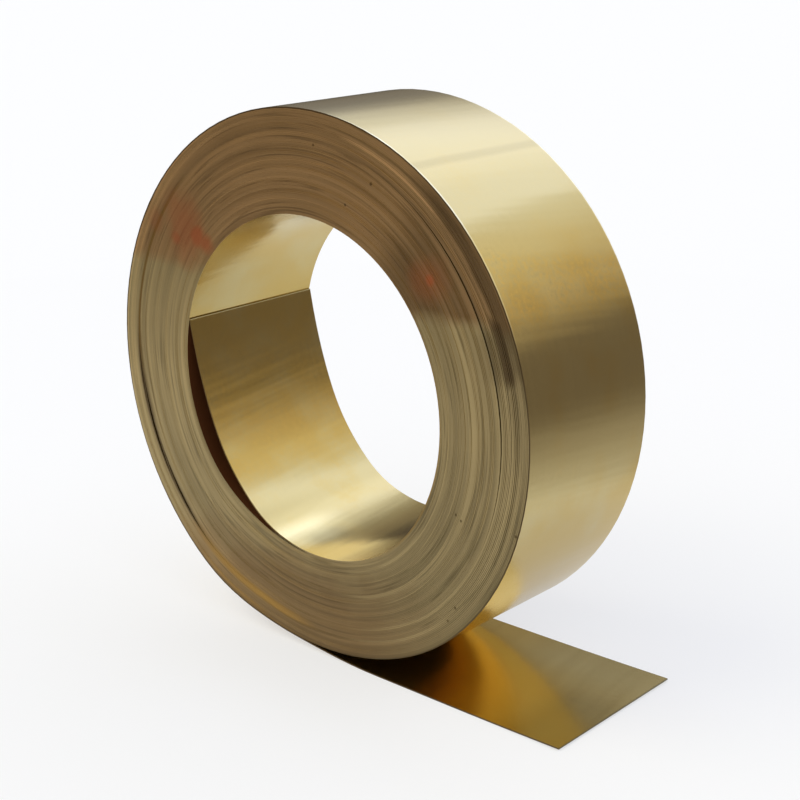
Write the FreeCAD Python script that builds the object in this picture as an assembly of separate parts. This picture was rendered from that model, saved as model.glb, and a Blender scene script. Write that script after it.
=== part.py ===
"""Roll of brass strip, standing on its rim, with both ends of the strip free.

Frame, in millimetres: the origin is on the roll's axis, halfway along the strip's width.
+Y runs along the axis, +X towards the strip's outer end, +Z up.
Angles are measured in the X-Z plane from +X towards +Z.
"""
import FreeCAD
import Part
import math
import os

# The strip
STRIP_WIDTH = 50.0
STRIP_THICKNESS = 0.4

# The roll. The pitch from turn to turn is the strip's thickness and a film of air.
BORE_DIAMETER = 100.0
TURN_AIR = 0.02
TURNS = 70

# How far each turn's edges stand out of line with the next, and how far the whole winding wandered.
# The slit edges are rounded, so each turn slopes to the next one's edge.
TURN_STAGGER = 0.1
WINDING_WANDER = 0.12
WANDER_TURNS = 31.0
STAGGER_STRIDE = 7
STAGGER_LEVELS = 5
EDGE_ROUNDING = 0.06

# Where the winding has sprung open: the turns outside the gap, its width, and the angle where it is widest
SPRUNG_GAPS = (
    (12, 1.0, 172.0),
    (21, 0.5, 15.0),
)

# The outer end leaves the roll at its lowest point and lies flat
OUTER_END_REACH = 88.5
OUTER_TURN_SLACK = 0.9

# The inner end peels off the bore, bows inwards and leans back on the bore's wall. Each pair is an angle,
# from the peel to the tip, and the space left there between the wall and the strip's back.
INNER_END_PEEL_ANGLE = -72.0
INNER_END_STAND_OFF = (
    (-96.0, 1.0),
    (-115.0, 1.9),
    (-133.0, 4.0),
    (-150.0, 5.4),
    (-162.0, 6.4),
    (-174.0, 5.5),
    (-186.0, 3.0),
    (-198.5, 0.3),
)

TURN_PITCH = STRIP_THICKNESS + TURN_AIR
BORE_RADIUS = BORE_DIAMETER / 2
ROLL_RADIUS = BORE_RADIUS + TURNS * TURN_PITCH
HALF_WIDTH = STRIP_WIDTH / 2
LOWEST_ANGLE = -90.0
CUT_MARGIN = 5.0


def point(x, z, y=0.0):
    """A point in the row's frame, from its place in the X-Z plane."""
    return FreeCAD.Vector(x, y, z)


def polar(radius, degrees, centre=FreeCAD.Vector(0, 0, 0)):
    """A point in the X-Z plane at a radius and an angle about a centre."""
    a = math.radians(degrees)
    return centre + point(radius * math.cos(a), radius * math.sin(a))


def turn_shift(turn):
    """How far a turn stands along the axis from the middle of the width."""
    level = (turn * STAGGER_STRIDE) % STAGGER_LEVELS - (STAGGER_LEVELS - 1) / 2
    stagger = TURN_STAGGER * level / ((STAGGER_LEVELS - 1) / 2)
    return stagger + WINDING_WANDER * math.sin(2 * math.pi * turn / WANDER_TURNS)


def disc(radius, centre=FreeCAD.Vector(0, 0, 0)):
    """A solid cylinder along Y, longer than the roll is wide."""
    length = STRIP_WIDTH + 2 * CUT_MARGIN
    return Part.makeCylinder(radius, length, centre - point(0, 0, length / 2), FreeCAD.Vector(0, 1, 0))


def wound_body():
    """All the turns as one turned solid: each turn is a step on both ends."""
    near = []
    far = []
    for turn in range(TURNS):
        inside = BORE_RADIUS + turn * TURN_PITCH
        rounding = EDGE_ROUNDING if turn < TURNS - 1 else 0.0
        shift = turn_shift(turn)
        for radius in (inside, inside + TURN_PITCH - rounding):
            near.append((radius, shift - HALF_WIDTH))
            far.append((radius, shift + HALF_WIDTH))
    outline = [FreeCAD.Vector(r, y, 0) for r, y in near + far[::-1]]
    section = Part.Face(Part.makePolygon(outline + outline[:1]))
    return section.revolve(FreeCAD.Vector(0, 0, 0), FreeCAD.Vector(0, 1, 0), 360)


def sprung_gap(turns_outside, width, degrees):
    """A crescent under the turns that have sprung away, open at one side of the roll."""
    radius = ROLL_RADIUS - turns_outside * TURN_PITCH
    return disc(radius).cut(disc(radius, polar(-width, degrees)))


def quadrant(first_degrees):
    """A block with one edge on the axis, which covers 90 degrees from the angle given."""
    size = ROLL_RADIUS + CUT_MARGIN
    length = STRIP_WIDTH + 2 * CUT_MARGIN
    block = Part.makeBox(size, length, size, point(0, 0, -length / 2))
    block.rotate(FreeCAD.Vector(0, 0, 0), FreeCAD.Vector(0, 1, 0), -first_degrees)
    return block


def outer_turn_relief():
    """What the roll lacks past the place where its outermost turn has left it."""
    step = TURN_PITCH + OUTER_TURN_SLACK
    return quadrant(LOWEST_ANGLE).cut(disc(ROLL_RADIUS, polar(-step, LOWEST_ANGLE)))


def inner_turn_relief():
    """What the bore gains behind the inner end, where the innermost turn has left it."""
    return quadrant(INNER_END_PEEL_ANGLE - 90).common(disc(BORE_RADIUS + TURN_PITCH))


def outer_end():
    """The free outer end, flat from under the axis to its cut edge."""
    corner = point(0, -ROLL_RADIUS, turn_shift(TURNS - 1) - HALF_WIDTH)
    return Part.makeBox(OUTER_END_REACH, STRIP_WIDTH, STRIP_THICKNESS, corner)


def inner_end():
    """The free inner end: a strip bent through its stand-offs, tangent to the bore where it peels off."""
    leaving = polar(1.0, INNER_END_PEEL_ANGLE - 90)

    def bent(places):
        """One face of the strip, as a smooth curve through places."""
        curve = Part.BSplineCurve()
        free = [False] * (len(places) - 1)
        curve.interpolate(Points=places, Tangents=[leaving] * len(places), TangentFlags=[True] + free)
        return curve

    back_places = [polar(BORE_RADIUS + STRIP_THICKNESS, INNER_END_PEEL_ANGLE)]
    back_places += [polar(BORE_RADIUS - gap, degrees) for degrees, gap in INNER_END_STAND_OFF]
    back = bent(back_places)
    face_places = []
    for place in back_places:
        along = back.tangent(back.parameter(place))[0]
        inwards = FreeCAD.Vector(0, 1, 0).cross(along).normalize()
        face_places.append(place + inwards * STRIP_THICKNESS)
    face = bent(face_places)
    ends = [Part.makeLine(back_places[k], face_places[k]) for k in (0, -1)]
    section = Part.Face(Part.Wire(Part.__sortEdges__([back.toShape(), face.toShape()] + ends)))
    section.translate(point(0, 0, turn_shift(0) - HALF_WIDTH))
    return section.extrude(FreeCAD.Vector(0, STRIP_WIDTH, 0))


def brass_strip_roll():
    """The whole roll: one length of strip, so one solid."""
    hollows = [sprung_gap(*gap) for gap in SPRUNG_GAPS]
    hollows += [outer_turn_relief(), inner_turn_relief()]
    roll = wound_body()
    for hollow in hollows:
        roll = roll.cut(hollow)
    return roll.fuse([outer_end(), inner_end()])


os.makedirs("parts", exist_ok=True)
brass_strip_roll().exportStep("parts/brass_strip_roll.step")
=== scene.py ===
"""A roll of brass strip standing on its rim: one length, wound on itself, with both ends free.

Metres, in the part's own frame: the origin is on the roll's axis, halfway along the strip's width,
+X points towards the strip's outer end, +Y runs along the axis and +Z is up.
Angles round the axis are in degrees from +X towards +Z. A turn of the strip is counted from the
place where its inner end leaves the bore's wall.
"""
import math

import bmesh
import bpy
from bpy.props import FloatProperty, FloatVectorProperty, IntProperty, PointerProperty
from mathutils import Matrix, Vector


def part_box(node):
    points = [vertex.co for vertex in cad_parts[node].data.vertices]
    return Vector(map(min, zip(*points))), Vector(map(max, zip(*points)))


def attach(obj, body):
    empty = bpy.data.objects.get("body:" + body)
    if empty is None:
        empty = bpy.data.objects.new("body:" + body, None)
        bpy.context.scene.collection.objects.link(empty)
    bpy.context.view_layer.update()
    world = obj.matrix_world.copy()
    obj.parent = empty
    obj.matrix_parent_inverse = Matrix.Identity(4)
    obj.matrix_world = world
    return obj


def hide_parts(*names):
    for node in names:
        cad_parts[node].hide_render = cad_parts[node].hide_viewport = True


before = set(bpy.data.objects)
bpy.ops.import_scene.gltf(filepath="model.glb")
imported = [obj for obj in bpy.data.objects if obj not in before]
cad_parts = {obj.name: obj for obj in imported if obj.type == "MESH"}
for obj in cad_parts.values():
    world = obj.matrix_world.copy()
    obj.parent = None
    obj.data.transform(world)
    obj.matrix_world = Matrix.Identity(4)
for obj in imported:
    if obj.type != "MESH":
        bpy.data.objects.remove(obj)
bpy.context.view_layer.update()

bl_info = {
    "name": "Wound brass strip",
    "version": (1, 0, 0),
    "blender": (4, 5, 0),
    "location": "3D View > Sidebar > Brass Roll",
    "description": "Winds a roll of brass strip and sets it on a pale studio floor",
    "category": "Add Mesh",
}

MM = 0.001
PIECE_NAME = "wound_brass_strip"
CAD_NODE = "brass_strip_roll"
CAD_BODY = "root"

# The way the strip runs, in degrees round the axis
START_ANGLE = -95.0
LAST_ROUND_ANGLE = -97.0
INNER_TIP_ANGLE = -196.2
INNER_TIP_TURN = (INNER_TIP_ANGLE - START_ANGLE) / 360.0
SHARP_DEGREES = 11.0

# The outer end: its points, and how far from the axis it reaches the floor and starts to rise
END_POINTS = 40
LANDING = 24 * MM
RISE_START = 50 * MM

# The roll has settled on its outer end: its wall is pressed inwards between these angles
SEAT_RIGHT = (-48.0, -97.0)
SEAT_LEFT_INSIDE = (-147.0, -112.0)
SEAT_LEFT_OUTSIDE = (-127.0, -100.0)
SEAT_SHARE_INSIDE = 0.78

# The outermost turns are slack: they bulge from this turn on, round this angle
BULGE_TURNS = (50.0, 66.0)
BULGE_ANGLE = 8.0
BULGE_SPAN = (80.0, 30.0)

# Where the winding has sprung open: turns under the gap, middle of the gap, and the half
# angles between which it closes
LEFT_GAP_TURNS = 55.2
LEFT_GAP_ANGLE = 203.0
LEFT_GAP_SPAN = (33.0, 10.0)
RIGHT_GAP_TURNS = 48.7
RIGHT_GAP_ANGLE = 20.0
RIGHT_GAP_SPAN = (46.0, 10.0)

# The left gap passes to turns further in on its lower side, over these angles from its middle
LEFT_GAP_SHIFT = 2.0
LEFT_GAP_SHIFT_SPAN = (-22.0, 20.0)

# How far the inner end stands off the bore's wall, from its tip to where it joins the wall,
# as shares of its way and of its widest gap
INNER_END_DEGREES = 118.0
INNER_END_STAND = (
    (0.0, 0.021), (0.0625, 0.394), (0.125, 0.661), (0.1875, 0.84), (0.25, 0.945), (0.3125, 0.982),
    (0.375, 0.958), (0.4375, 0.898), (0.5, 0.782), (0.5625, 0.608), (0.625, 0.4), (0.6875, 0.216),
    (0.75, 0.119), (0.8125, 0.068), (0.875, 0.021), (1.0, 0.0),
)

# How the turns' edges stand out of line: two patterns along the strip, as changes per turn and
# share, and one of soft bands round the roll, as its reach round, its climb per turn and its share
STAGGER_QUICK = (0.9, 0.12)
STAGGER_SLOW = (0.13, 1.0)
STAGGER_BANDS = (0.9, 0.3, 1.3)

# One side of the strip's section, as shares of the roll-over in from the edge and of half the
# thickness down from the outer face
SECTION_SIDE = ((1.2, 0.0), (0.33, 0.14), (0.0, 0.55), (0.0, 1.72), (0.16, 2.0))

# Noise on the rolled faces: scale, detail and roughness. The lines from the rolling mill are
# stretched: so many to a metre along the strip and across it
SPECKLE = (750.0, 3.0, 0.65)
CLOUD = (55.0, 2.0, 0.5)
WAVES = (120.0, 2.0, 0.5)
WAVES_SLANT = 0.12
WAVES_ACROSS = 0.1
DRAWN = (1.0, 2.0, 0.6)
DRAWN_ALONG = 12.0
DRAWN_ACROSS = 900.0
WAVE_HEIGHT = 0.13 * MM
GRAIN_HEIGHT = 0.02 * MM
GRAIN_STRENGTH = 0.2

# Turns at which the inner end, the outside and the first turn begin, and how far a face looks
# along the axis, towards it or away from it
EDGE_FACING = (0.2, 0.4)
INNER_END_TURNS = (-0.05, -0.13)
OUTSIDE_TURNS = (60.0, 62.0)
FIRST_TURN = (2.0, 1.0)
FACING_IN = (-0.3, -0.6)
FACING_OUT = (0.3, 0.6)

# Parts of the rolled faces. Each is bounded along an axis by places in millimetres: there is
# nothing of it at the first place and all of it at the second
ON_FLOOR = ("z", -76.0, -78.0)
TONED = (("z", 24.0, 34.0), ("x", 40.0, 60.0))
TONED_TOP = (45.0, 41.0)
TONED_SLANT = 0.14
TONED_WANDER = 5.0
CLEAN = (("z", 40.0, 50.0),)
BORE_TONED = (("z", -4.0, 16.0), ("x", -16.0, -36.0))
SUNK = (("z", -12.0, -34.0), ("z", -76.0, -70.0))
# a painted warm reflection of the outer end, low on the outer turn
WARM_REFLECTION_PATCH = (("z", -34.0, -64.0), ("x", 78.0, 54.0))
PALE_END = (ON_FLOOR, ("y", 0.0, 18.0), ("x", 34.0, 60.0))
DULL_END = (ON_FLOOR, ("x", 64.0, 78.0), ("y", 10.0, -4.0))
# a painted highlight along the outer turn's edges at the top
EDGE_HIGHLIGHT_TOP = (("z", 16.0, 42.0),)
EDGE_HIGHLIGHT_BAND = (24.45, 24.7)
# a painted dark reflection on the top of the roll
DARK_REFLECTION_TOP = (("x", 19.0, 5.0), ("x", -42.0, -10.0), ("z", 60.0, 72.0))
# painted light and painted shade at the bottom of the bore
LIT_BOTTOM = (("z", -44.0, -46.5), ("y", 2.0, -14.0))
SHADED_BOTTOM = (("z", -42.0, -46.0),)
# painted shade on the outer end's cut edge
SHADED_CUT_EDGE = (("x", 88.3, 88.36),)

# Bands on the rolled faces, in millimetres: the middle, and how far from it they end and are full
FAINT_LINE_X = (43.2, 2.0, 0.4)
# where the painted shade lies across the bottom of the bore
SHADED_BOTTOM_X = (-4.5, 6.5, 1.0)
SHADED_BOTTOM_Y = (-13.0, 11.0, 3.0)

# The wall behind the inner end carries painted shade from just past the tip, in turns from it, to
# the turn where the two join. The tip's own edge has a painted highlight, in turns from the tip
SHADE_FROM_TIP = (0.002, 0.008)
SHADE_BEHIND_END = (1.0, 0.95)
LIP_FROM_TIP = (0.0014, 0.0004)

# The border on the slit edges between brown above and olive below, which paints a reflection, in
# millimetres, and the brown that comes back at the bottom left
BORDER_HEIGHT = 29.5
BORDER_SLOPE = -0.02
BORDER_HALF = 2.5
BORDER_WANDER = 6.0
SLIT_CLOUD = (90.0, 3.0, 0.5)
LOW_Z = (-40.0, -64.0)
LOW_X = (62.0, 12.0)
LOW_WANDER = 16.0

# Lines that follow the turns on the slit edges: how often each changes on its way round, turns to
# a line, the pattern's seed and, for the tones, the strength
LINE_NOISE = (1.0, 1.0, 0.4)
TONE_LINES = ((0.7, 3.1, 0.0, 0.7), (0.5, 8.0, 5.0, 0.6), (1.2, 1.6, 9.0, 0.3))
DARK_LINES = (0.6, 3.4, 21.0)
DARK_LINE_HALF = 0.035
LIGHT_LINES = (0.9, 2.2, 14.0)
LIGHT_LINE_FROM = (0.08, 0.2)

# Sectors of the slit edges: the middle angle, and how far from it they end and are full
# the first four hold painted light and shade on broad sides
BOTTOM_SECTOR = (-72.0, 78.0, 24.0)
RIGHT_SECTOR = (34.0, 24.0, 8.0)
LEFT_SECTOR = (178.0, 34.0, 12.0)
LOWER_LEFT_SECTOR = (207.0, 24.0, 8.0)
LIGHT_LINES_SECTOR = (-30.0, 62.0, 25.0)
DARK_STEP_SECTOR = (17.5, 7.0, 2.0)
OUTER_LEFT_SECTOR = (180.0, 75.0, 40.0)
BORE_RIGHT_SECTOR = (10.0, 80.0, 40.0)

# Turns of the slit edges between which a change comes in
RIGHT_SHADE_TURNS = (55.0, 40.0)
DARK_STEP_TURNS = (34.0, 60.0)
SPRUNG_END_TURNS = (0.0, -0.03)
OUTER_LEFT_TURNS = (56.5, 58.0)
BORE_TURNS = (1.2, 0.2)
RIM_TURNS = (67.8, 68.2)

# Bands along the turns of the slit edges: the middle turn and half the width in turns, the
# sector, and the strength. Those beside the left gap count their turns from it
DARK_BANDS = (
    (63.0, 6.5, (34.0, 26.0, 12.0), 1.0),
    (60.0, 4.0, (12.0, 20.0, 6.0), 0.4),
    (59.0, 5.2, (18.0, 8.5, 4.5), 1.3),
)
LIGHT_BANDS = ((58.0, 1.6, (61.0, 17.0, 8.0), 1.0), (57.5, 4.5, (58.0, 15.0, 6.0), 0.4))
BRIGHT_BAND = (65.5, 2.0, (-117.0, 14.0, 5.0), 0.5)
GAP_SHADES = ((-2.0, 2.4, (187.0, 16.0, 6.0), 0.5), (0.2, 2.6, (LEFT_GAP_ANGLE, 36.0, 16.0), 0.8))
GAP_GOLDEN_LINE = (-0.8, 1.8, (157.0, 32.0, 14.0), 0.9)
GAP_BRIGHT_BAND = (1.2, 4.8, (-113.0, 25.0, 6.0), 1.0)
BAND_CORE = 0.4
GAP_BAND_CORE = 0.2

# Marks on the slit edges, as places in the X-Z plane and sizes in millimetres, and the strength
RED_SMEARS = (
    ((-38.5, 38.0), 5.0, 0.75), ((-42.0, 40.0), 6.0, 0.85), ((-51.5, 38.5), 4.0, 0.7),
    ((-47.0, 42.5), 13.0, 0.5), ((-60.5, 42.5), 6.0, 0.3),
    ((48.0, 38.3), 3.0, 0.9), ((47.5, 38.5), 9.0, 0.35),
)
SPECKS = (
    (7.8, 69.6), (28.5, 61.0), (18.9, 54.7), (55.2, -23.1),
    (56.9, -24.4), (75.0, -24.2), (51.7, -54.2), (54.3, -49.7),
)
SPECK_SIZE = 0.55

# The card round the roll that its reflections show, in metres. Its sides are angles round the
# roll, and what is near a side is between two cosines of the angle from it. Its colours run from
# its inner rim out over the floor and up its wall
CARD_INSIDE = 0.20
CARD_OUTSIDE = 0.55
CARD_HEIGHT = 0.41
CARD_TALL_HEIGHT = 0.52
CARD_TALL_SIDES = (50.0, 128.0)
CARD_TALL_NEAR = (0.93, 0.98)
CARD_SIDES = 96
CARD_CENTRE = (-0.05, -0.06)
CARD_LIFT = 0.0004
CARD_FADE = 0.05
CARD_FLOOR_SHARE = 0.4
CARD_DARK_SIDE = 131.0
CARD_DARK_NEAR = (0.75, 0.96)
CARD_DARK_HEIGHT = (0.46, 0.31)
CARD_DARK_SHARE = 0.45
CARD_WARM_SIDE = 42.0
CARD_WARM_NEAR = (0.93, 0.985)
CARD_WARM_HEIGHT = (0.28, 0.42)
CARD_WARM_SHIFT = 0.018
CARD_WARM_COLOUR = (0.93, 0.86, 0.67)
CARD_GLOW = (
    (0.0, (0.66, 0.65, 0.62)), (0.12, (0.42, 0.39, 0.36)), (0.24, (0.26, 0.23, 0.20)),
    (0.40, (0.19, 0.16, 0.135)), (0.61, (0.19, 0.16, 0.135)), (0.665, (0.41, 0.35, 0.26)),
    (0.75, (0.64, 0.55, 0.41)), (0.86, (0.74, 0.675, 0.54)), (0.94, (0.85, 0.85, 0.84)),
    (1.0, (1.0, 1.04, 1.12)),
)

# The room's colours, by the sine of the angle above the horizon
ROOM_GLOW = (
    (0.0, (0.93, 0.925, 0.91)), (0.45, (0.93, 0.93, 0.94)), (0.56, (1.28, 1.4, 1.8)),
    (0.61, (1.26, 1.38, 1.8)), (0.69, (1.2, 1.29, 1.62)), (0.73, (1.34, 1.45, 1.8)),
    (0.755, (1.28, 1.36, 1.58)), (0.785, (1.08, 1.13, 1.22)), (0.82, (1.0, 1.02, 1.06)),
    (0.90, (0.45, 0.43, 0.36)), (1.0, (0.42, 0.4, 0.32)),
)
ROOM_BRIGHT_SIDE = 108.0
ROOM_BRIGHT_NEAR = (0.92, 0.99)
ROOM_BRIGHT_HEIGHT = (0.5, 0.6)
ROOM_BRIGHT_GAIN = 0.14

WHITE = (1.0, 1.0, 1.0)
FLOOR_WHITE_TO_CAMERA = 0.5
FLOOR_WHITE_IN_METAL = 0.1
KEY_FROM = (-0.5, -0.55, 0.9)
SENSOR_WIDTH = 36.0
CLIP_START = 0.01
CLIP_END = 100.0


class Field:
    """A number that changes over a geometry or a surface. Arithmetic on it adds nodes."""

    def __init__(self, socket):
        self.tree = socket.id_data
        self.socket = socket

    def math(self, operation, *others):
        """This number, and others with it, through one of the Math node's operations."""
        node = self.tree.nodes.new("ShaderNodeMath")
        node.operation = operation
        for slot, value in zip(node.inputs, (self,) + others):
            plug(value, slot)
        return out(node)

    def __add__(self, other):
        return self.math("ADD", other)

    def __sub__(self, other):
        return self.math("SUBTRACT", other)

    def __mul__(self, other):
        return self.math("MULTIPLY", other)

    def __truediv__(self, other):
        return self.math("DIVIDE", other)

    def flipped(self):
        """One less the number, to turn a mask round."""
        return (self * -1.0) + 1.0

    def ramp(self, low, high, interpolation="SMOOTHSTEP", to=(0.0, 1.0)):
        """The number carried from between low and high to between the two numbers in to."""
        node = self.tree.nodes.new("ShaderNodeMapRange")
        node.interpolation_type = interpolation
        for slot, value in zip(node.inputs, (self, low, high, to[0], to[1])):
            plug(value, slot)
        return out(node)

    def ramp_mm(self, low, high):
        """A soft step from 0 to 1 between two places in millimetres."""
        return self.ramp(low * MM, high * MM)

    def band(self, middle, outside, inside):
        """1 within inside of a middle value, and 0 further than outside from it."""
        return (self - middle).math("ABSOLUTE").ramp(outside, inside)

    def band_mm(self, middle, outside, inside):
        """A band round a place in millimetres."""
        return self.band(middle * MM, outside * MM, inside * MM)

    def curve(self, points):
        """The number carried through a smooth curve of points between 0 and 1."""
        node = self.tree.nodes.new("ShaderNodeFloatCurve")
        handles = node.mapping.curves[0].points
        while len(handles) < len(points):
            handles.new(0.5, 0.5)
        for handle, place in zip(handles, points):
            handle.location = place
        node.mapping.update()
        plug(self, node.inputs["Value"])
        return out(node)


def plug(value, socket):
    """Links a field to a socket, or sets a plain value on it."""
    if isinstance(value, Field):
        socket.id_data.links.new(value.socket, socket)
    else:
        socket.default_value = value


def add_node(tree, kind, values=None, **settings):
    """A new node with its settings, and its inputs linked or set by name."""
    node = tree.nodes.new(kind)
    for name, value in settings.items():
        setattr(node, name, value)
    for name, value in (values or {}).items():
        plug(value, node.inputs[name])
    return node


def out(node, name=0):
    """A node's output as a field."""
    return Field(node.outputs[name])


def joined(x, y, z):
    """Three fields as one vector."""
    return out(add_node(x.tree, "ShaderNodeCombineXYZ", {"X": x, "Y": y, "Z": z}))


def parts(vector):
    """A vector's X, Y and Z as three fields."""
    node = add_node(vector.tree, "ShaderNodeSeparateXYZ", {"Vector": vector})
    return [out(node, name) for name in "XYZ"]


def distance(across, up):
    """The distance that two fields at right angles make."""
    return (across * across + up * up).math("SQRT")


def towards(degrees, across, up):
    """How far a place lies in a direction, which is an angle from the first field to the second."""
    angle = math.radians(degrees)
    return across * math.cos(angle) + up * math.sin(angle)


def product(fields):
    """Some fields multiplied."""
    result = fields[0]
    for field in fields[1:]:
        result = result * field
    return result


def strongest(fields):
    """The largest of some fields at each place."""
    result = fields[0]
    for field in fields[1:]:
        result = result.math("MAXIMUM", field)
    return result


def noise(place, scale, detail, roughness=0.5, one_way=False):
    """Smooth noise around 0 at a place, which is a vector, or a number where it runs one way."""
    node = add_node(
        place.tree, "ShaderNodeTexNoise",
        {"W" if one_way else "Vector": place, "Scale": scale, "Detail": detail,
         "Roughness": roughness},
        noise_dimensions="1D" if one_way else "3D",
    )
    return out(node, "Fac") - 0.5


def wrapped(angle):
    """An angle in degrees, brought between -180 and 180."""
    return angle.math("WRAP", 180.0, -180.0)


def new_tree(name, kind, inputs, result, result_type):
    """An empty node group with inputs, listed by their type, and one output.

    Gives the inputs back as fields by name."""
    tree = bpy.data.node_groups.new(name, kind)
    for socket_type, labels in inputs.items():
        for label in labels:
            tree.interface.new_socket(
                label, in_out="INPUT", socket_type="NodeSocket" + socket_type)
    tree.interface.new_socket(result, in_out="OUTPUT", socket_type="NodeSocket" + result_type)
    given = tree.nodes.new("NodeGroupInput")
    return tree, {socket.name: Field(socket) for socket in given.outputs if socket.name}


def give_result(tree, field):
    """Sends a field out of its node group."""
    plug(field, tree.nodes.new("NodeGroupOutput").inputs[0])


def strip_line(tree, given):
    """Points along the middle of the strip, from the inner tip to the outer cut edge."""
    index = out(tree.nodes.new("GeometryNodeInputIndex"))
    round_points = given["Round Points"]
    steps = given["Steps per Turn"]
    pitch = given["Pitch"]
    reach = given["Outer Reach"]
    rounds = index.math("MINIMUM", round_points)
    turn = rounds / steps + INNER_TIP_TURN
    degrees = turn * 360.0 + START_ANGLE
    here = wrapped(degrees)

    wound = (turn * steps / round_points).math("MAXIMUM", 0.0)
    left_foot = [
        wound * (outside - inside) + inside
        for inside, outside in zip(SEAT_LEFT_INSIDE, SEAT_LEFT_OUTSIDE)
    ]
    seat = here.ramp(*SEAT_RIGHT) * here.ramp(*left_foot) * given["Seat Depth"]
    seat = seat * (wound * (1.0 - SEAT_SHARE_INSIDE) + SEAT_SHARE_INSIDE)
    slack = wrapped(degrees - BULGE_ANGLE).math("ABSOLUTE").ramp(*BULGE_SPAN)
    bulge = turn.ramp(*BULGE_TURNS) * slack * given["Bulge"]

    def sprung(width, angle, span, turns_under):
        """How far a turn under a gap is pressed towards the bore."""
        opening = wrapped(degrees - angle).math("ABSOLUTE").ramp(*span)
        under = (turn - turns_under).ramp(0.5, -0.5)
        return opening * width * under * (turn.math("MAXIMUM", 0.0) / LEFT_GAP_TURNS)

    shift = wrapped(degrees - LEFT_GAP_ANGLE).ramp(*LEFT_GAP_SHIFT_SPAN, "LINEAR") * -LEFT_GAP_SHIFT
    squeeze = sprung(given["Left Gap"], LEFT_GAP_ANGLE, LEFT_GAP_SPAN, shift + LEFT_GAP_TURNS)
    squeeze += sprung(given["Right Gap"], RIGHT_GAP_ANGLE, RIGHT_GAP_SPAN, RIGHT_GAP_TURNS)

    way_in = degrees.ramp(INNER_TIP_ANGLE, INNER_TIP_ANGLE + INNER_END_DEGREES, "LINEAR")
    stand_off = way_in.curve(INNER_END_STAND) * given["Inner Gap"]
    radius = given["Bore Radius"] + given["Thickness"] * 0.5 + turn.math("MAXIMUM", 0.0) * pitch
    radius = radius + bulge - seat - squeeze - stand_off
    angle = degrees.math("RADIANS")
    x_round = radius * angle.math("COSINE")
    z_round = radius * angle.math("SINE")

    # past the last of the round, the outer end runs down to the floor and lies on it: an even
    # curve that leaves the round the way it goes and lands level
    past = (index - round_points).math("MAXIMUM", 0.0)
    along = past / given["End Points"]
    x = x_round + along * (reach - x_round)
    land = ((x - x_round) / (given["Landing"] - x_round)).math("MINIMUM", 1.0)
    floor = given["Floor"] + given["Thickness"] * 0.5
    slope = (given["Landing"] - x_round) * math.tan(math.radians(LAST_ROUND_ANGLE + 90.0))
    square = land * land
    cube = square * land
    start_share = cube * 2.0 - square * 3.0 + 1.0
    slope_share = cube - square * 2.0 + land
    tip_rise = x.ramp(given["Rise Start"], reach, "LINEAR")
    z_end = z_round * start_share + floor * start_share.flipped() + slope * slope_share
    z_end += tip_rise * tip_rise * given["Tip Rise"]
    z = z_round + along.math("GREATER_THAN", 0.0) * (z_end - z_round)

    # each turn's edges stand a little out of line with the next turn's
    seed = given["Seed"]
    quick = noise(turn + seed, STAGGER_QUICK[0], 0.0, one_way=True)
    slow = noise(turn + seed * 3.0, STAGGER_SLOW[0], 0.0, one_way=True)
    round_reach, climb, bands_share = STAGGER_BANDS
    across, up = (angle.math(way) * round_reach for way in ("COSINE", "SINE"))
    ring = joined(across, up, turn * climb + seed)
    bands = noise(ring, 1.0, 1.0)
    stagger = quick * STAGGER_QUICK[1] + slow * STAGGER_SLOW[1] + bands * bands_share
    stagger = stagger * given["Edge Stagger"]
    stagger = stagger.math("MAXIMUM", given["Edge Stagger"] * -0.5)
    stagger = stagger.math("MINIMUM", given["Edge Stagger"] * 0.5)

    points = add_node(
        tree, "GeometryNodeResampleCurve",
        {"Curve": out(tree.nodes.new("GeometryNodeCurvePrimitiveLine")),
         "Count": round_points + given["End Points"] + 1.0},
    )
    placed = add_node(
        tree, "GeometryNodeSetPosition",
        {"Geometry": out(points), "Position": joined(x, stagger, z)},
    )
    run = turn * given["Bore Radius"] * (2.0 * math.pi) + turn * turn * pitch * math.pi
    run = run + along * reach
    line = out(placed)
    for name, value in (("turn", turn), ("run", run)):
        stored = add_node(
            tree, "GeometryNodeStoreNamedAttribute",
            {"Geometry": line, "Name": name, "Value": value},
            data_type="FLOAT", domain="POINT",
        )
        line = out(stored)
    level = add_node(
        tree, "GeometryNodeSetCurveNormal", {"Curve": line, "Normal": (0.0, 1.0, 0.0)}, mode="FREE",
    )
    return out(level)


def strip_section(tree, given):
    """The strip's section: a thin bar whose slit edges are rolled over on the outer face."""
    half = given["Width"] * 0.5
    thick = given["Thickness"] * 0.5
    corners = [
        (half - given["Roll Over"] * inset, thick - thick * drop) for inset, drop in SECTION_SIDE
    ]
    mirrored = [(across * -1.0, up) for across, up in corners[::-1]]
    ring = add_node(tree, "GeometryNodeCurvePrimitiveCircle", {"Resolution": len(corners) * 2})
    index = tree.nodes.new("GeometryNodeInputIndex")
    chosen = add_node(tree, "GeometryNodeIndexSwitch", data_type="VECTOR")
    while len(chosen.index_switch_items) < len(corners) * 2:
        chosen.index_switch_items.new()
    tree.links.new(index.outputs[0], chosen.inputs["Index"])
    for number, (across, up) in enumerate(corners + mirrored):
        plug(joined(across, up, 0.0), chosen.inputs[number + 1])
    placed = add_node(
        tree, "GeometryNodeSetPosition",
        {"Geometry": out(ring), "Position": out(chosen)},
    )
    return out(placed)


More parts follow.
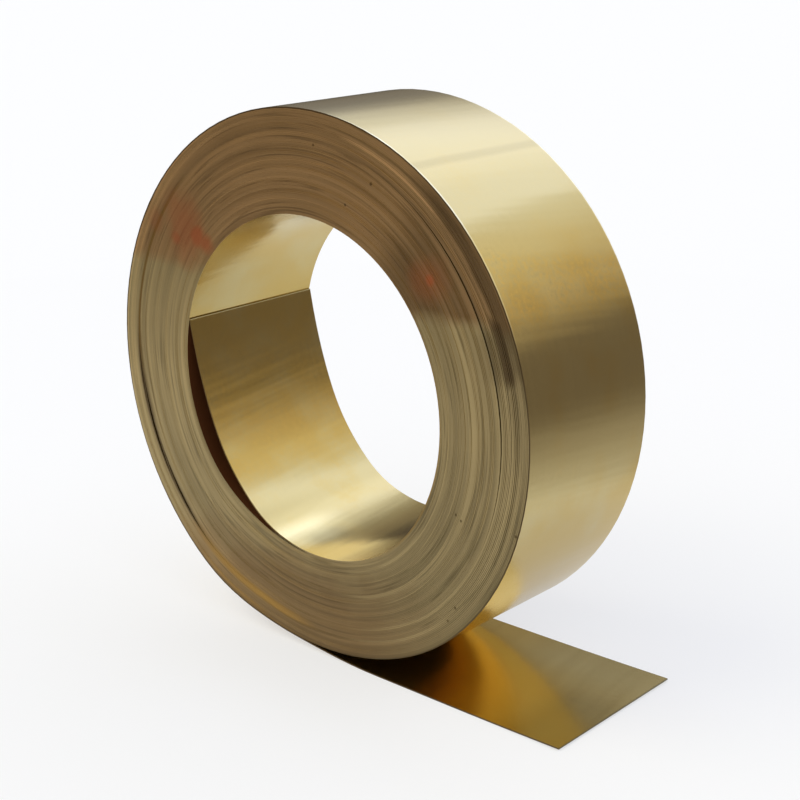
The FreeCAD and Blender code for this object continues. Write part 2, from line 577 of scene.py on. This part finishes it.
def winding_tree():
    """The whole wound strip as one node group."""
    tree, given = new_tree(
        "Wound strip", "GeometryNodeTree",
        {
            "Float": (
                "Bore Radius", "Pitch", "Thickness", "Width", "Outer Reach", "Floor", "Landing",
                "Rise Start", "Tip Rise", "Seat Depth", "Bulge", "Left Gap", "Right Gap",
                "Inner Gap", "Edge Stagger", "Roll Over", "Seed",
            ),
            "Int": ("Steps per Turn", "Round Points", "End Points"),
            "Material": ("Material",),
        },
        "Geometry", "Geometry",
    )
    swept = add_node(
        tree, "GeometryNodeCurveToMesh",
        {"Curve": strip_line(tree, given), "Profile Curve": strip_section(tree, given),
         "Fill Caps": True},
    )
    real = add_node(tree, "GeometryNodeRealizeInstances", {"Geometry": out(swept)})
    finished = add_node(
        tree, "GeometryNodeSetMaterial",
        {"Geometry": out(real), "Material": given["Material"]},
    )
    give_result(tree, out(finished))
    return tree


def add_object(name, data):
    """A new object in the scene."""
    thing = bpy.data.objects.new(name, data)
    bpy.context.scene.collection.objects.link(thing)
    return thing


def made_by_nodes(name, tree, values):
    """A plain mesh object, made by a node group with these inputs."""
    carrier = add_object(name, bpy.data.meshes.new(name))
    modifier = carrier.modifiers.new("Nodes", "NODES")
    modifier.node_group = tree
    for socket in tree.interface.items_tree:
        if socket.in_out == "INPUT":
            modifier[socket.identifier] = values[socket.name]
    depsgraph = bpy.context.evaluated_depsgraph_get()
    mesh = bpy.data.meshes.new_from_object(carrier.evaluated_get(depsgraph))
    carrier.modifiers.remove(modifier)
    carrier.data = mesh
    mesh.name = name
    return carrier


def mixed(share, first, second):
    """Two colours mixed by a field."""
    node = add_node(share.tree, "ShaderNodeMix", data_type="RGBA")
    plug(share, node.inputs[0])
    plug(first, node.inputs[6])
    plug(second, node.inputs[7])
    return out(node, 2)


def rgba(colour):
    """A colour as a colour socket takes it."""
    return (*colour, 1.0)


def scaled(colour, amount):
    """A colour made lighter or darker by a field."""
    node = add_node(colour.tree, "ShaderNodeVectorMath", operation="SCALE")
    plug(colour, node.inputs[0])
    plug(amount, node.inputs["Scale"])
    return out(node)


def colour_ramp(place, stops):
    """A colour picked by a field from 0 to 1, through stops of a place and a colour."""
    node = place.tree.nodes.new("ShaderNodeValToRGB")
    elements = node.color_ramp.elements
    while len(elements) < len(stops):
        elements.new(1.0)
    for element, (position, colour) in zip(elements, stops):
        element.position = position
        element.color = rgba(colour)
    plug(place, node.inputs[0])
    return out(node)


def new_material(name):
    """A material with nodes, and its tree."""
    material = bpy.data.materials.new(name)
    material.use_nodes = True
    return material, material.node_tree


def set_surface(tree, share, first, second):
    """Sends two shaders, mixed by a field, to a material's surface."""
    blend = tree.nodes.new("ShaderNodeMixShader")
    plug(share, blend.inputs[0])
    tree.links.new(first.outputs[0], blend.inputs[1])
    tree.links.new(second.outputs[0], blend.inputs[2])
    tree.links.new(blend.outputs[0], tree.nodes["Material Output"].inputs["Surface"])


def around_group():
    """Soft lines that follow the turns round the roll, with a value around 0."""
    tree, given = new_tree(
        "Lines around", "ShaderNodeTree",
        {"Vector": ("Place",), "Float": ("Turn", "Runs", "Turns per Line", "Seed")},
        "Value", "Float",
    )
    x, _, z = parts(given["Place"])
    radius = distance(x, z)
    height = given["Turn"] / given["Turns per Line"] + given["Seed"]
    ring = joined(x / radius * given["Runs"], z / radius * given["Runs"], height)
    give_result(tree, noise(ring, *LINE_NOISE))
    return tree


def slit_group():
    """The colour of the slit edges, which show as the roll's two ends, with painted reflection,
    light and shade.
    """
    tree, given = new_tree(
        "Slit edges", "ShaderNodeTree",
        {"Vector": ("Place",), "Float": ("Turn",), "Color": ("Olive", "Brown", "Rust", "Gold")},
        "Color", "Color",
    )
    turn, brown, gold = given["Turn"], given["Brown"], given["Gold"]
    x, y, z = parts(given["Place"])
    radius = distance(x, z)
    marked_end = y.math("LESS_THAN", 0.0)
    from_gap = wrapped(z.math("ARCTAN2", x) * math.degrees(1.0) - LEFT_GAP_ANGLE)
    shift = from_gap.ramp(*LEFT_GAP_SHIFT_SPAN, "LINEAR") * LEFT_GAP_SHIFT
    from_gap_turns = turn - LEFT_GAP_TURNS + shift
    lines = around_group()

    def line(runs, turns_per_line, seed):
        """One pattern of soft lines along the turns."""
        return out(add_node(
            tree, "ShaderNodeGroup",
            {"Place": given["Place"], "Turn": turn, "Runs": runs, "Turns per Line": turns_per_line,
             "Seed": seed},
            node_tree=lines,
        ))

    def sector(degrees, outside, inside):
        """1 near an angle round the axis, and 0 outside the wider half angle."""
        along = towards(degrees, x, z) / radius
        return along.ramp(math.cos(math.radians(outside)), math.cos(math.radians(inside)))

    def turn_band(middle, half, place, strength):
        """A band along some turns, inside a sector."""
        return turn.band(middle, half, half * BAND_CORE) * sector(*place) * strength

    def gap_band(middle, half, place, strength):
        """A band along the turns beside the left gap, inside a sector."""
        return from_gap_turns.band(middle, half, half * GAP_BAND_CORE) * sector(*place) * strength

    def from_mark(across, up):
        """The distance from a mark's place."""
        return distance(x - across * MM, z - up * MM)

    cloud = noise(given["Place"], *SLIT_CLOUD)
    # painted reflection: brown above a wandering border and olive below it
    border = x * BORDER_SLOPE + BORDER_HEIGHT * MM
    high = (z - border + cloud * BORDER_WANDER * MM).ramp_mm(-BORDER_HALF, BORDER_HALF)
    colour = mixed(high, given["Olive"], brown)
    low = (z + cloud * LOW_WANDER * MM).ramp_mm(*LOW_Z) * x.ramp_mm(*LOW_X)
    colour = mixed(low * 0.8, colour, scaled(brown, 0.78))

    # painted light and shade on broad sides, then the tones, dark lines and light lines of the
    # turns
    colour = scaled(colour, sector(*BOTTOM_SECTOR) * -0.27 + 1.0)
    right_shade = sector(*RIGHT_SECTOR) * high * turn.ramp(*RIGHT_SHADE_TURNS)
    colour = scaled(colour, right_shade * -0.4 + 1.0)
    left_gain = sector(*LEFT_SECTOR) * 0.16 + sector(*LOWER_LEFT_SECTOR) * -0.12
    colour = scaled(colour, left_gain + 1.0)
    tone = cloud * 0.15 + 1.0
    for runs, turns_per_line, seed, strength in TONE_LINES:
        tone = tone + line(runs, turns_per_line, seed) * strength
    colour = scaled(colour, tone)
    dark_lines = line(*DARK_LINES).math("ABSOLUTE").ramp(DARK_LINE_HALF, 0.0)
    colour = scaled(colour, dark_lines * -0.28 + 1.0)
    light_lines = line(*LIGHT_LINES).ramp(*LIGHT_LINE_FROM) * sector(*LIGHT_LINES_SECTOR)
    colour = mixed(light_lines * 0.3, colour, scaled(given["Olive"], 1.5))

    # bands on the right and the top of the near end
    dark_bands = [turn_band(*band) for band in DARK_BANDS]
    dark_bands.append(sector(*DARK_STEP_SECTOR) * turn.ramp(*DARK_STEP_TURNS) * 0.8)
    colour = mixed(strongest(dark_bands) * 0.68, colour, scaled(brown, 0.24))
    narrow, wide = (turn_band(*band) for band in LIGHT_BANDS)
    colour = scaled(colour, (narrow + wide) * 0.55 + 1.0)

    # painted shade, a painted golden reflection and painted light beside the left gap
    shades = [gap_band(*band) for band in GAP_SHADES]
    colour = mixed(strongest(shades), colour, scaled(brown, 0.3))
    colour = mixed(gap_band(*GAP_GOLDEN_LINE), colour, scaled(gold, 0.6))
    bright = strongest([gap_band(*GAP_BRIGHT_BAND), turn_band(*BRIGHT_BAND)])
    colour = mixed(bright * 0.8, colour, scaled(gold, 1.1))

    # the inner end, the outer turns on the left and the innermost turn on the right
    sprung_end = turn.ramp(*SPRUNG_END_TURNS)
    colour = mixed(sprung_end * 0.9, colour, scaled(gold, 0.45))
    outer_left = turn.ramp(*OUTER_LEFT_TURNS) * sector(*OUTER_LEFT_SECTOR)
    colour = scaled(colour, outer_left * 0.25 + 1.0)
    bore_right = turn.ramp(*BORE_TURNS) * sector(*BORE_RIGHT_SECTOR)
    colour = mixed(bore_right * 0.5, colour, gold)

    # red smears and dark specks on the near end, and the dark rim of the last turns
    smear = strongest([
        (from_mark(*place) - cloud * size * 0.9 * MM).ramp_mm(size, size * 0.2) * strength
        for place, size, strength in RED_SMEARS
    ])
    colour = mixed(smear * marked_end, colour, given["Rust"])
    speck = strongest([
        (from_mark(*place) + cloud * 0.4 * MM).ramp_mm(SPECK_SIZE, SPECK_SIZE * 0.4)
        for place in SPECKS
    ])
    colour = mixed(speck * marked_end * 0.75, colour, scaled(brown, 0.2))
    colour = mixed(turn.ramp(*RIM_TURNS) * 0.85, colour, scaled(brown, 0.2))
    give_result(tree, colour)
    return tree


def brass_material(finish):
    """Rolled brass on the faces and dull slit brass on the edges."""
    material, tree = new_material("rolled_brass")
    shader = tree.nodes["Principled BSDF"]
    coordinates = tree.nodes.new("ShaderNodeTexCoord")
    place = out(coordinates, "Object")
    x, y, z = parts(place)
    along = {"x": x, "y": y, "z": z}
    facing_x, facing_y, facing_z = parts(out(coordinates, "Normal"))
    edge = facing_y.math("ABSOLUTE").ramp(*EDGE_FACING)
    outwards = (facing_x * x + facing_z * z) / distance(x, z)
    inwards = outwards.ramp(*FACING_IN)
    turn, run = (
        out(add_node(tree, "ShaderNodeAttribute", attribute_name=name), "Fac")
        for name in ("turn", "run")
    )
    inner_end = turn.ramp(*INNER_END_TURNS)
    outside = turn.ramp(*OUTSIDE_TURNS)
    first_turn = turn.ramp(*FIRST_TURN)

    def patch(bounds):
        """1 on a part of the surface that places in millimetres bound, and 0 outside it."""
        return product([along[axis].ramp_mm(low, high) for axis, low, high in bounds])

    # rolled faces: speckled and clouded, with faint lines the way the strip was rolled
    surface = joined(run, y, 0.0)
    speckle = noise(surface, *SPECKLE)
    cloud = noise(surface, *CLOUD)
    drawn = noise(joined(run * DRAWN_ALONG, y * DRAWN_ACROSS, 0.0), *DRAWN)
    waves = noise(joined(run + y * WAVES_SLANT, y * WAVES_ACROSS, 0.0), *WAVES)

    # golden where they have toned: on the right, in the bore and on the inner end
    slanted = z + y * TONED_SLANT + cloud * TONED_WANDER * MM
    toned = patch(TONED) * slanted.ramp_mm(*TONED_TOP)
    clean = outside * patch(CLEAN)
    bore_toned = inwards * patch(BORE_TONED)
    grainy = toned.math("MAXIMUM", inner_end * 0.3)
    toned = strongest([toned, inner_end * 1.3, bore_toned * 1.1])
    sunk = outside * patch(SUNK)
    cloudy = cloud * (clean * -1.2 + 1.9)
    stain = cloudy + speckle * (grainy * 1.6 + 0.5) + toned * 0.35 + sunk * 0.7 + 0.08
    face = mixed(stain.ramp(0.0, 0.8), rgba(finish.brass), rgba(finish.golden))
    grain = speckle * (grainy * 0.45 + 0.08) + cloud * 0.06 + drawn * 0.04
    face = scaled(face, grain + 1.0)

    # a painted warm reflection where the outer turn nearly touches its free end, which is pale and
    # then dull further out
    face = mixed(outside * patch(WARM_REFLECTION_PATCH) * 0.75, face, rgba(finish.warm_reflection))
    face = mixed(outside * patch(PALE_END) * 0.8, face, rgba(finish.pale))
    face = scaled(face, outside * patch(DULL_END) * -0.2 + 1.0)

    # the top of the roll: a painted highlight along its edges, a painted dark reflection at the
    # left and one faint line across
    edge_highlight = outside * y.math("ABSOLUTE").ramp_mm(*EDGE_HIGHLIGHT_BAND) * patch(EDGE_HIGHLIGHT_TOP)
    face = mixed(edge_highlight * (cloud * 1.6 + 0.7).ramp(0.0, 1.0), face, rgba(finish.edge_highlight))
    # painted dark reflection on the top of the roll
    face = mixed(outside * patch(DARK_REFLECTION_TOP) * 0.85, face, rgba(finish.top_dark_reflection))
    faint_line = clean * (x + cloud * MM).band_mm(*FAINT_LINE_X)
    face = scaled(face, faint_line * -0.12 + 1.0)

    # the bottom of the bore: painted light towards the near end, with one painted shade across it
    lit = inwards * patch(LIT_BOTTOM) * first_turn
    face = scaled(mixed(lit * 0.6, face, rgba(finish.pale)), lit * 0.3 + 1.0)
    shade = inwards * patch(SHADED_BOTTOM) * first_turn
    shade = shade * x.band_mm(*SHADED_BOTTOM_X) * y.band_mm(*SHADED_BOTTOM_Y)
    face = scaled(face, shade * -0.28 + bore_toned * -0.05 + 1.0)

    # painted shade: the narrow space behind the inner end is a dull red brown
    wall_by_tip = [INNER_TIP_TURN + 1.0 + turns for turns in SHADE_FROM_TIP]
    behind = inwards * turn.ramp(*wall_by_tip) * turn.ramp(*SHADE_BEHIND_END)
    behind = behind.math("MAXIMUM", inner_end * outwards.ramp(*FACING_OUT)) * edge.flipped()
    face = mixed(behind, face, rgba(finish.shade_behind_tip))

    # a painted highlight on the inner end's cut edge
    lip = turn.ramp(*(INNER_TIP_TURN + turns for turns in LIP_FROM_TIP)) * 0.6
    face = mixed(lip, face, rgba(finish.pale))

    slit = add_node(
        tree, "ShaderNodeGroup",
        {"Place": place, "Turn": turn, "Olive": rgba(finish.slit_low),
         "Brown": rgba(finish.slit_high), "Rust": rgba(finish.smear),
         "Gold": rgba(finish.slit_gold)},
        node_tree=slit_group(),
    )
    colour = mixed(edge, face, out(slit))
    # painted shade on the outer end's cut edge
    colour = scaled(colour, patch(SHADED_CUT_EDGE) * -0.7 + 1.0)
    plug(colour, shader.inputs["Base Color"])
    plug(behind.math("MAXIMUM", lip) * -0.9 + 1.0, shader.inputs["Metallic"])
    face_roughness = speckle * 0.06 + drawn * 0.04 + 0.19
    roughness = face_roughness + edge * (face_roughness * -1.0 + 0.48)
    plug(roughness, shader.inputs["Roughness"])
    waviness = add_node(
        tree, "ShaderNodeBump", {"Strength": 1.0, "Distance": WAVE_HEIGHT, "Height": waves},
    )
    bump = add_node(
        tree, "ShaderNodeBump",
        {"Strength": GRAIN_STRENGTH, "Distance": GRAIN_HEIGHT,
         "Height": drawn * 0.6 + speckle * 0.8, "Normal": out(waviness)},
    )
    tree.links.new(bump.outputs[0], shader.inputs["Normal"])
    return material


def surround_material(stops):
    """A glowing card: pale by the roll, dark round it and pale again higher up."""
    material, tree = new_material("studio_surround")
    material.cycles.emission_sampling = "NONE"
    coordinates = tree.nodes.new("ShaderNodeTexCoord")
    x, y, z = parts(out(coordinates, "Object"))
    radius = distance(x, y)
    way = radius.ramp(CARD_INSIDE, CARD_OUTSIDE, "LINEAR", (0.0, CARD_FLOOR_SHARE))
    way += z.ramp(0.0, CARD_HEIGHT, "LINEAR", (0.0, 1.0 - CARD_FLOOR_SHARE))

    def facing(degrees, near):
        """1 on the card's side at an angle round the roll, and 0 away from it."""
        return (towards(degrees, x, y) / radius).ramp(*near)

    warm_side = facing(CARD_WARM_SIDE, CARD_WARM_NEAR)
    colour = colour_ramp(way - warm_side * CARD_WARM_SHIFT, stops)
    warm_share = warm_side * z.ramp(*CARD_WARM_HEIGHT)
    colour = mixed(warm_share, colour, rgba(CARD_WARM_COLOUR))
    dark_side = facing(CARD_DARK_SIDE, CARD_DARK_NEAR) * z.ramp(*CARD_DARK_HEIGHT)
    shade = dark_side * (CARD_DARK_SHARE - 1.0) + 1.0
    glow = add_node(tree, "ShaderNodeEmission", {"Color": scaled(colour, shade)})
    clear = tree.nodes.new("ShaderNodeBsdfTransparent")
    set_surface(tree, radius.ramp(CARD_INSIDE, CARD_INSIDE + CARD_FADE), clear, glow)
    return material


def floor_material(colour):
    """Pale matt paper, which is partly white of itself to the camera and in the metal."""
    material, tree = new_material("studio_floor")
    material.cycles.emission_sampling = "NONE"
    shader = tree.nodes["Principled BSDF"]
    shader.inputs["Base Color"].default_value = rgba(colour)
    shader.inputs["Roughness"].default_value = 0.9
    shader.inputs["Specular IOR Level"].default_value = 0.1
    path = tree.nodes.new("ShaderNodeLightPath")
    white_share = (out(path, "Is Camera Ray") * FLOOR_WHITE_TO_CAMERA
                   + out(path, "Is Glossy Ray") * FLOOR_WHITE_IN_METAL)
    white = add_node(tree, "ShaderNodeEmission", {"Color": rgba(WHITE), "Strength": 1.0})
    set_surface(tree, white_share, shader, white)
    return material


def a_length(label, description, default):
    """A setting for a length."""
    return FloatProperty(name=label, description=description, default=default, unit="LENGTH")


def an_angle(label, description, degrees):
    """A setting for an angle."""
    return FloatProperty(
        name=label, description=description, default=math.radians(degrees), subtype="ANGLE")


def a_colour(label, description, default):
    """A setting for a colour."""
    return FloatVectorProperty(
        name=label, description=description, default=default, subtype="COLOR", size=3)


class StripSizes(bpy.types.PropertyGroup):
    """The sizes of the strip and of the roll that it is wound into."""
    width: a_length("Strip width", "Width of the strip", 50 * MM)
    thickness: a_length("Strip thickness", "Thickness of the strip", 0.41 * MM)
    bore_radius: a_length("Bore radius", "Radius of the bore", 50 * MM)
    pitch: a_length("Turn pitch", "Distance from one turn to the next", 0.42 * MM)
    turns: IntProperty(name="Turns", description="Whole turns on the roll", default=69, min=60)
    steps: IntProperty(
        name="Steps per turn", description="Straight steps that make one turn", default=104)
    outer_reach: a_length("Outer end reach", "Distance from the axis to the cut edge", 88.4 * MM)
    tip_rise: a_length("Outer tip rise", "How far the cut edge springs up", 0.35 * MM)
    seat_depth: a_length("Seat depth", "How far the wall is pressed in at the bottom", 2.05 * MM)
    bulge: a_length("Bulge", "How far the slack outermost turns bulge", 0.55 * MM)
    left_gap: a_length("Left gap", "Widest gap under the sprung outer turns", 0.85 * MM)
    right_gap: a_length("Right gap", "Widest gap on the side of the outer end", 0.45 * MM)
    inner_gap: a_length("Inner end gap", "Widest gap behind the inner end", 7.0 * MM)
    stagger: a_length("Edge stagger", "How far the turns' edges stand out of line", 0.36 * MM)
    roll_over: a_length("Edge roll-over", "Width of the rounding along the slit edges", 0.03 * MM)
    seed: FloatProperty(
        name="Seed", description="Picks the pattern of the turns' edges", default=4.3)


class BrassFinish(bpy.types.PropertyGroup):
    """The colours of the brass."""
    brass: a_colour("Brass", "Clean rolled brass", (0.62, 0.505, 0.235))
    golden: a_colour("Golden brass", "Brass where it has toned", (0.60, 0.44, 0.15))
    warm_reflection: a_colour(
        "Painted warm reflection", "Painted reflection of the outer end, beside the place where it leaves the roll",
        (0.74, 0.55, 0.19))
    pale: a_colour(
        "Pale brass", "Pale brass near the cut edges, and painted light in the bore and on the inner end's cut edge",
        (0.68, 0.60, 0.34))
    edge_highlight: a_colour(
        "Painted edge highlight", "Painted highlight along the outer turn's edges", (0.84, 0.76, 0.5))
    top_dark_reflection: a_colour("Painted dark reflection", "Painted dark reflection on the top of the roll", (0.29, 0.25, 0.165))
    shade_behind_tip: a_colour("Painted shade behind the tip", "Painted shade: dull red brown behind the inner end", (0.085, 0.028, 0.009))
    slit_low: a_colour(
        "Slit edge, olive", "Slit edges on the lower part of the ends", (0.40, 0.31, 0.15))
    slit_high: a_colour(
        "Slit edge, brown", "Slit edges on the upper part of the ends", (0.39, 0.245, 0.108))
    slit_gold: a_colour(
        "Slit edge, gold", "Painted light on the slit edges beside a gap", (0.36, 0.21, 0.05))
    smear: a_colour("Red smear", "Smears on the slit edges", (0.46, 0.135, 0.05))


class StudioSettings(bpy.types.PropertyGroup):
    """The floor, the light and the camera."""
    floor_colour: a_colour("Floor", "Colour of the floor", (0.86, 0.86, 0.86))
    floor_half_size: a_length("Floor half size", "Half the floor's side", 14.0)
    sky_strength: FloatProperty(
        name="Sky strength", description="Brightness of the room", default=1.0)
    key_strength: FloatProperty(
        name="Key strength", description="Brightness of the key light", default=0.75)
    key_colour: a_colour("Key colour", "Colour of the key light", (1.0, 0.9, 0.5))
    key_softness: an_angle("Key softness", "Angle that the key light fills", 40.0)
    camera_place: FloatVectorProperty(
        name="Camera place", description="Where the camera stands", subtype="TRANSLATION", size=3,
        default=(0.30101, -0.30967, 0.12325))
    camera_azimuth: an_angle(
        "Camera azimuth", "Angle round the roll, from looking along +Y", 44.127)
    camera_elevation: an_angle("Camera elevation", "Angle that the camera looks down by", 15.955)
    camera_roll: an_angle("Camera roll", "Angle that the camera is tilted by", -1.955)
    camera_lens: FloatProperty(
        name="Lens", description="Focal length in millimetres", default=69.54, unit="CAMERA")
    camera_shift: FloatVectorProperty(
        name="Camera shift", description="Shift of the picture over the lens", size=2,
        default=(0.04098, -0.03321))


class BRASSROLL_OT_wind_strip(bpy.types.Operator):
    """Winds the strip into a roll and gives it its finish"""
    bl_idname = "brassroll.wind_strip"
    bl_label = "Wind the strip"

    def execute(self, context):
        sizes = context.scene.brassroll_sizes
        last_turn = sizes.turns + (LAST_ROUND_ANGLE - START_ANGLE) / 360.0
        low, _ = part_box(CAD_NODE)
        values = {
            "Bore Radius": sizes.bore_radius, "Pitch": sizes.pitch,
            "Thickness": sizes.thickness, "Width": sizes.width, "Steps per Turn": sizes.steps,
            "Round Points": round((last_turn - INNER_TIP_TURN) * sizes.steps),
            "End Points": END_POINTS, "Outer Reach": sizes.outer_reach, "Floor": low.z,
            "Landing": LANDING, "Rise Start": RISE_START, "Tip Rise": sizes.tip_rise,
            "Seat Depth": sizes.seat_depth, "Bulge": sizes.bulge, "Left Gap": sizes.left_gap,
            "Right Gap": sizes.right_gap, "Inner Gap": sizes.inner_gap,
            "Edge Stagger": sizes.stagger, "Roll Over": sizes.roll_over, "Seed": sizes.seed,
            "Material": brass_material(context.scene.brassroll_finish),
        }
        strip = made_by_nodes(PIECE_NAME, winding_tree(), values)
        strip.data.shade_smooth()
        strip.data.set_sharp_from_angle(angle=math.radians(SHARP_DEGREES))
        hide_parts(CAD_NODE)
        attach(strip, CAD_BODY)
        return {"FINISHED"}


def room_world(strength):
    """A plain pale room with a soft cool light high up all round, brightest on one side.

    The camera itself sees white."""
    world = bpy.data.worlds.new("studio_room")
    world.use_nodes = True
    tree = world.node_tree
    coordinates = tree.nodes.new("ShaderNodeTexCoord")
    x, y, height = parts(out(coordinates, "Generated"))
    facing = towards(ROOM_BRIGHT_SIDE, x, y) / (x * x + y * y + 1e-6).math("SQRT")
    bright = facing.ramp(*ROOM_BRIGHT_NEAR) * height.ramp(*ROOM_BRIGHT_HEIGHT)
    gain = bright * ROOM_BRIGHT_GAIN + 1.0
    seen = out(tree.nodes.new("ShaderNodeLightPath"), "Is Camera Ray")
    glow = scaled(colour_ramp(height, ROOM_GLOW), gain)
    background = tree.nodes["Background"]
    plug(mixed(seen, glow, rgba(WHITE)), background.inputs["Color"])
    background.inputs["Strength"].default_value = strength
    bpy.context.scene.world = world


def surround():
    """A card round the roll, flat near it and upright further out, which only reflections show."""
    bm = bmesh.new()
    outside, inside = CARD_TALL_NEAR
    rings = []
    for radius, rise in ((CARD_INSIDE, 0.0), (CARD_OUTSIDE, 0.0), (CARD_OUTSIDE, 1.0)):
        ring = []
        for side in range(CARD_SIDES):
            angle = 2.0 * math.pi * side / CARD_SIDES
            near = max(math.cos(angle - math.radians(tall)) for tall in CARD_TALL_SIDES)
            share = min(max((near - outside) / (inside - outside), 0.0), 1.0)
            height = CARD_HEIGHT + share * (CARD_TALL_HEIGHT - CARD_HEIGHT)
            ring.append(bm.verts.new(
                (radius * math.cos(angle), radius * math.sin(angle), rise * height)))
        rings.append(ring)
    for inner, outer in zip(rings, rings[1:]):
        for side in range(CARD_SIDES):
            after = (side + 1) % CARD_SIDES
            bm.faces.new((inner[side], outer[side], outer[after], inner[after]))
    mesh = bpy.data.meshes.new("surround")
    bm.to_mesh(mesh)
    bm.free()
    card = add_object("surround", mesh)
    card.visible_camera = card.visible_diffuse = card.visible_shadow = False
    card.visible_transmission = card.visible_volume_scatter = False
    return card


def camera_turn(azimuth, elevation, roll):
    """The camera's turn from the angles that it looks by."""
    level = math.cos(elevation)
    back = Vector((math.sin(azimuth) * level, -math.cos(azimuth) * level, math.sin(elevation)))
    right = Vector((math.cos(azimuth), math.sin(azimuth), 0.0))
    up = back.cross(right)
    tilted_right = math.cos(roll) * right + math.sin(roll) * up
    tilted_up = math.cos(roll) * up - math.sin(roll) * right
    return Matrix((tilted_right, tilted_up, back)).transposed()


class BRASSROLL_OT_set_stage(bpy.types.Operator):
    """Lays the pale floor, lights the room and sets the camera"""
    bl_idname = "brassroll.set_stage"
    bl_label = "Set the stage"

    def execute(self, context):
        scene = context.scene
        studio = scene.brassroll_studio
        low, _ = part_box(CAD_NODE)
        half = studio.floor_half_size
        corners = ((-half, -half), (half, -half), (half, half), (-half, half))
        mesh = bpy.data.meshes.new("floor")
        mesh.from_pydata([(x, y, low.z) for x, y in corners], [], [(0, 1, 2, 3)])
        mesh.materials.append(floor_material(studio.floor_colour))
        floor = add_object("floor", mesh)

        card = surround()
        card.location = (*CARD_CENTRE, low.z + CARD_LIFT)
        card.data.materials.append(surround_material(CARD_GLOW))

        room_world(studio.sky_strength)
        lamp = bpy.data.lights.new("key_light", "SUN")
        lamp.energy = studio.key_strength
        lamp.color = studio.key_colour
        lamp.angle = studio.key_softness
        key = add_object("key_light", lamp)
        key.rotation_euler = Vector(KEY_FROM).to_track_quat("Z", "Y").to_euler()

        data = bpy.data.cameras.new("camera")
        data.lens = studio.camera_lens
        data.sensor_width = SENSOR_WIDTH
        data.shift_x, data.shift_y = studio.camera_shift
        data.clip_start = CLIP_START
        data.clip_end = CLIP_END
        camera = add_object("camera", data)
        turn = camera_turn(studio.camera_azimuth, studio.camera_elevation, studio.camera_roll)
        camera.matrix_world = Matrix.Translation(studio.camera_place) @ turn.to_4x4()
        scene.camera = camera
        scene.view_settings.view_transform = "Standard"
        return {"FINISHED"}


class BRASSROLL_PT_sidebar(bpy.types.Panel):
    """The roll's sizes, colours and steps"""
    bl_idname = "BRASSROLL_PT_sidebar"
    bl_label = "Brass Roll"
    bl_space_type = "VIEW_3D"
    bl_region_type = "UI"
    bl_category = "Brass Roll"

    def draw(self, context):
        scene = context.scene
        for settings in (scene.brassroll_sizes, scene.brassroll_finish, scene.brassroll_studio):
            box = self.layout.box()
            for name in settings.__annotations__:
                box.prop(settings, name)
        self.layout.operator(BRASSROLL_OT_wind_strip.bl_idname)
        self.layout.operator(BRASSROLL_OT_set_stage.bl_idname)


CLASSES = (
    StripSizes,
    BrassFinish,
    StudioSettings,
    BRASSROLL_OT_wind_strip,
    BRASSROLL_OT_set_stage,
    BRASSROLL_PT_sidebar,
)


def register():
    """Adds the classes and the scene's settings."""
    for part in CLASSES:
        bpy.utils.register_class(part)
    bpy.types.Scene.brassroll_sizes = PointerProperty(type=StripSizes)
    bpy.types.Scene.brassroll_finish = PointerProperty(type=BrassFinish)
    bpy.types.Scene.brassroll_studio = PointerProperty(type=StudioSettings)


def unregister():
    """Takes them away again."""
    del bpy.types.Scene.brassroll_studio
    del bpy.types.Scene.brassroll_finish
    del bpy.types.Scene.brassroll_sizes
    for part in reversed(CLASSES):
        bpy.utils.unregister_class(part)


def main():
    register()
    bpy.ops.brassroll.wind_strip()
    bpy.ops.brassroll.set_stage()


if __name__ == "__main__":
    main()
